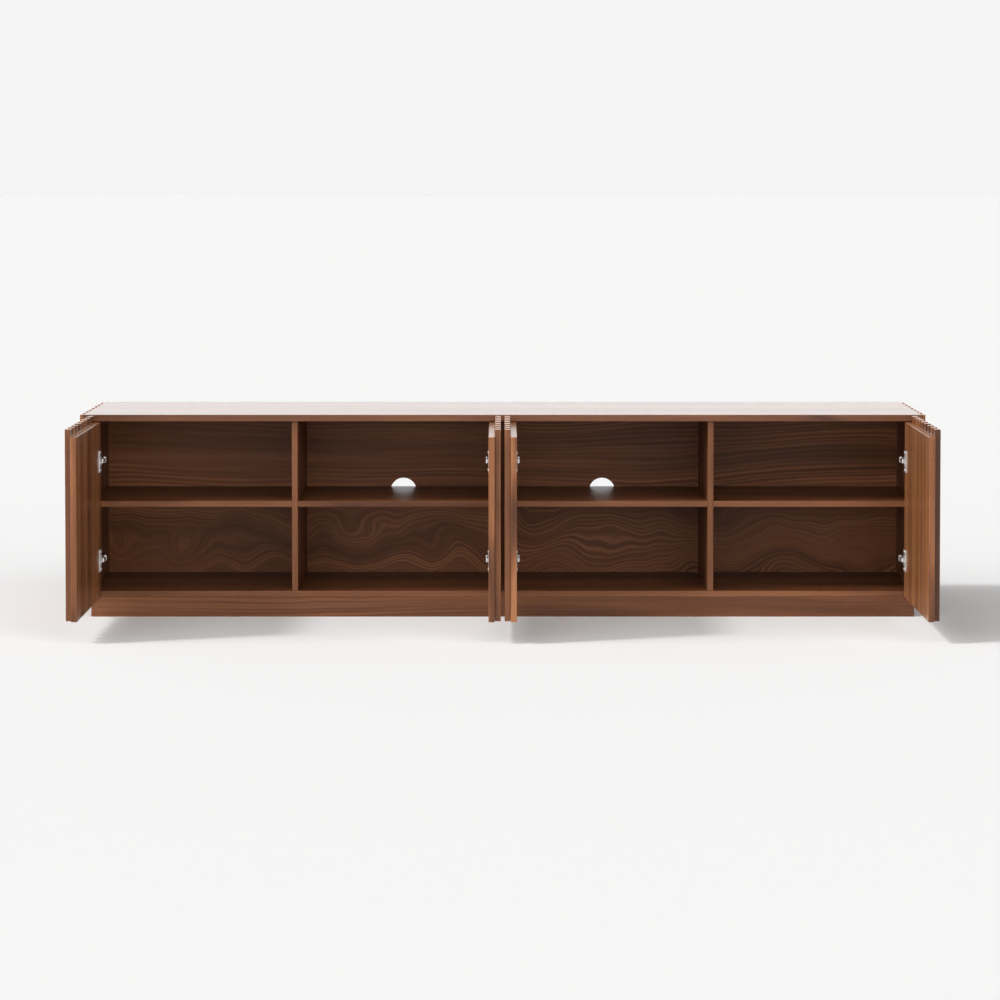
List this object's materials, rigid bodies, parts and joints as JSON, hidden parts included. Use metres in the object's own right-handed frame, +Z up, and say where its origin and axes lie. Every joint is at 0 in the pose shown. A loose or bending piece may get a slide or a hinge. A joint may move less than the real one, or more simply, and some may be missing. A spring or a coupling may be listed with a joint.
{
  "type": "media cabinet",
  "caption": "Long low walnut media cabinet with open shelved bays, slatted doors on concealed hinges that stand open, and a recessed plinth.",
  "frame": {"origin": "on the floor under the middle of the box that the cabinet fills with its doors open", "axes": "+X along the cabinet to the right seen from the front, doors face -Y, +Z up"},
  "size_m": [2.34, 1.1526, 0.563],
  "materials": {
    "walnut_top": "satin lacquered walnut veneer, grain along the top",
    "walnut_carcass": "satin lacquered walnut veneer",
    "walnut_doors": "satin lacquered walnut veneer, upright grain",
    "walnut_slats": "satin lacquered solid walnut, upright grain",
    "walnut_back": "satin walnut veneer with a figured crown grain",
    "walnut_plinth": "satin lacquered walnut veneer, grain along the plinth",
    "nickel_plate": "bright nickel plated steel"
  },
  "bodies": {
    "carcass": {"back_panel_left": "walnut_back", "back_panel_right": "walnut_back", "bottom_board": "walnut_carcass", "centre_partition": "walnut_carcass", "divider_left": "walnut_carcass", "divider_right": "walnut_carcass", "hinge_arm_left_inner_bottom": "nickel_plate", "hinge_arm_left_inner_top": "nickel_plate", "hinge_arm_left_outer_bottom": "nickel_plate", "hinge_arm_left_outer_top": "nickel_plate", "hinge_arm_right_inner_bottom": "nickel_plate", "hinge_arm_right_inner_top": "nickel_plate", "hinge_arm_right_outer_bottom": "nickel_plate", "hinge_arm_right_outer_top": "nickel_plate", "hinge_plate_left_inner_bottom": "nickel_plate", "hinge_plate_left_inner_top": "nickel_plate", "hinge_plate_left_outer_bottom": "nickel_plate", "hinge_plate_left_outer_top": "nickel_plate", "hinge_plate_right_inner_bottom": "nickel_plate", "hinge_plate_right_inner_top": "nickel_plate", "hinge_plate_right_outer_bottom": "nickel_plate", "hinge_plate_right_outer_top": "nickel_plate", "plinth_back": "walnut_plinth", "plinth_brace": "walnut_plinth", "plinth_end_left": "walnut_plinth", "plinth_end_right": "walnut_plinth", "plinth_front": "walnut_plinth", "shelf_left_inner": "walnut_carcass", "shelf_left_outer": "walnut_carcass", "shelf_right_inner": "walnut_carcass", "shelf_right_outer": "walnut_carcass", "side_panel_left": "walnut_carcass", "side_panel_right": "walnut_carcass", "side_slats_left": "walnut_slats", "side_slats_right": "walnut_slats", "top_board": "walnut_top"},
    "door_left_outer": {"door_panel_left_outer": "walnut_doors", "door_slats_left_outer": "walnut_slats", "hinge_cup_left_outer_bottom": "nickel_plate", "hinge_cup_left_outer_top": "nickel_plate"},
    "hinge_links_left_outer": {"hinge_link_left_outer_bottom": "nickel_plate", "hinge_link_left_outer_top": "nickel_plate"},
    "door_left_inner": {"door_panel_left_inner": "walnut_doors", "door_slats_left_inner": "walnut_slats", "hinge_cup_left_inner_bottom": "nickel_plate", "hinge_cup_left_inner_top": "nickel_plate"},
    "hinge_links_left_inner": {"hinge_link_left_inner_bottom": "nickel_plate", "hinge_link_left_inner_top": "nickel_plate"},
    "door_right_inner": {"door_panel_right_inner": "walnut_doors", "door_slats_right_inner": "walnut_slats", "hinge_cup_right_inner_bottom": "nickel_plate", "hinge_cup_right_inner_top": "nickel_plate"},
    "hinge_links_right_inner": {"hinge_link_right_inner_bottom": "nickel_plate", "hinge_link_right_inner_top": "nickel_plate"},
    "door_right_outer": {"door_panel_right_outer": "walnut_doors", "door_slats_right_outer": "walnut_slats", "hinge_cup_right_outer_bottom": "nickel_plate", "hinge_cup_right_outer_top": "nickel_plate"},
    "hinge_links_right_outer": {"hinge_link_right_outer_bottom": "nickel_plate", "hinge_link_right_outer_top": "nickel_plate"}
  },
  "joints": [
    {"name": "door_left_outer_swing", "type": "hinge", "parent": "carcass", "child": "door_left_outer", "pos_m": [-1.143, -0.00875, 0.3], "axis": [0, 0, 1], "range_deg": [0, 90]},
    {"name": "hinge_links_left_outer_swing", "type": "hinge", "parent": "carcass", "child": "hinge_links_left_outer", "pos_m": [-1.1045, 0.03125, 0.3], "axis": [0, 0, 1], "range_deg": [0, 90]},
    {"name": "door_left_inner_swing", "type": "hinge", "parent": "carcass", "child": "door_left_inner", "pos_m": [-0.005, -0.00875, 0.3], "axis": [0, 0, -1], "range_deg": [0, 90]},
    {"name": "hinge_links_left_inner_swing", "type": "hinge", "parent": "carcass", "child": "hinge_links_left_inner", "pos_m": [-0.0435, 0.03125, 0.3], "axis": [0, 0, -1], "range_deg": [0, 90]},
    {"name": "door_right_inner_swing", "type": "hinge", "parent": "carcass", "child": "door_right_inner", "pos_m": [0.005, -0.00875, 0.3], "axis": [0, 0, 1], "range_deg": [0, 90]},
    {"name": "hinge_links_right_inner_swing", "type": "hinge", "parent": "carcass", "child": "hinge_links_right_inner", "pos_m": [0.0435, 0.03125, 0.3], "axis": [0, 0, 1], "range_deg": [0, 90]},
    {"name": "door_right_outer_swing", "type": "hinge", "parent": "carcass", "child": "door_right_outer", "pos_m": [1.143, -0.00875, 0.3], "axis": [0, 0, -1], "range_deg": [0, 90]},
    {"name": "hinge_links_right_outer_swing", "type": "hinge", "parent": "carcass", "child": "hinge_links_right_outer", "pos_m": [1.1045, 0.03125, 0.3], "axis": [0, 0, -1], "range_deg": [0, 90]}
  ],
  "couplings": [
    {"joint": "hinge_links_left_outer_swing", "follows": "door_left_outer_swing", "ratio": 1},
    {"joint": "hinge_links_left_inner_swing", "follows": "door_left_inner_swing", "ratio": 1},
    {"joint": "hinge_links_right_inner_swing", "follows": "door_right_inner_swing", "ratio": 1},
    {"joint": "hinge_links_right_outer_swing", "follows": "door_right_outer_swing", "ratio": 1}
  ]
}
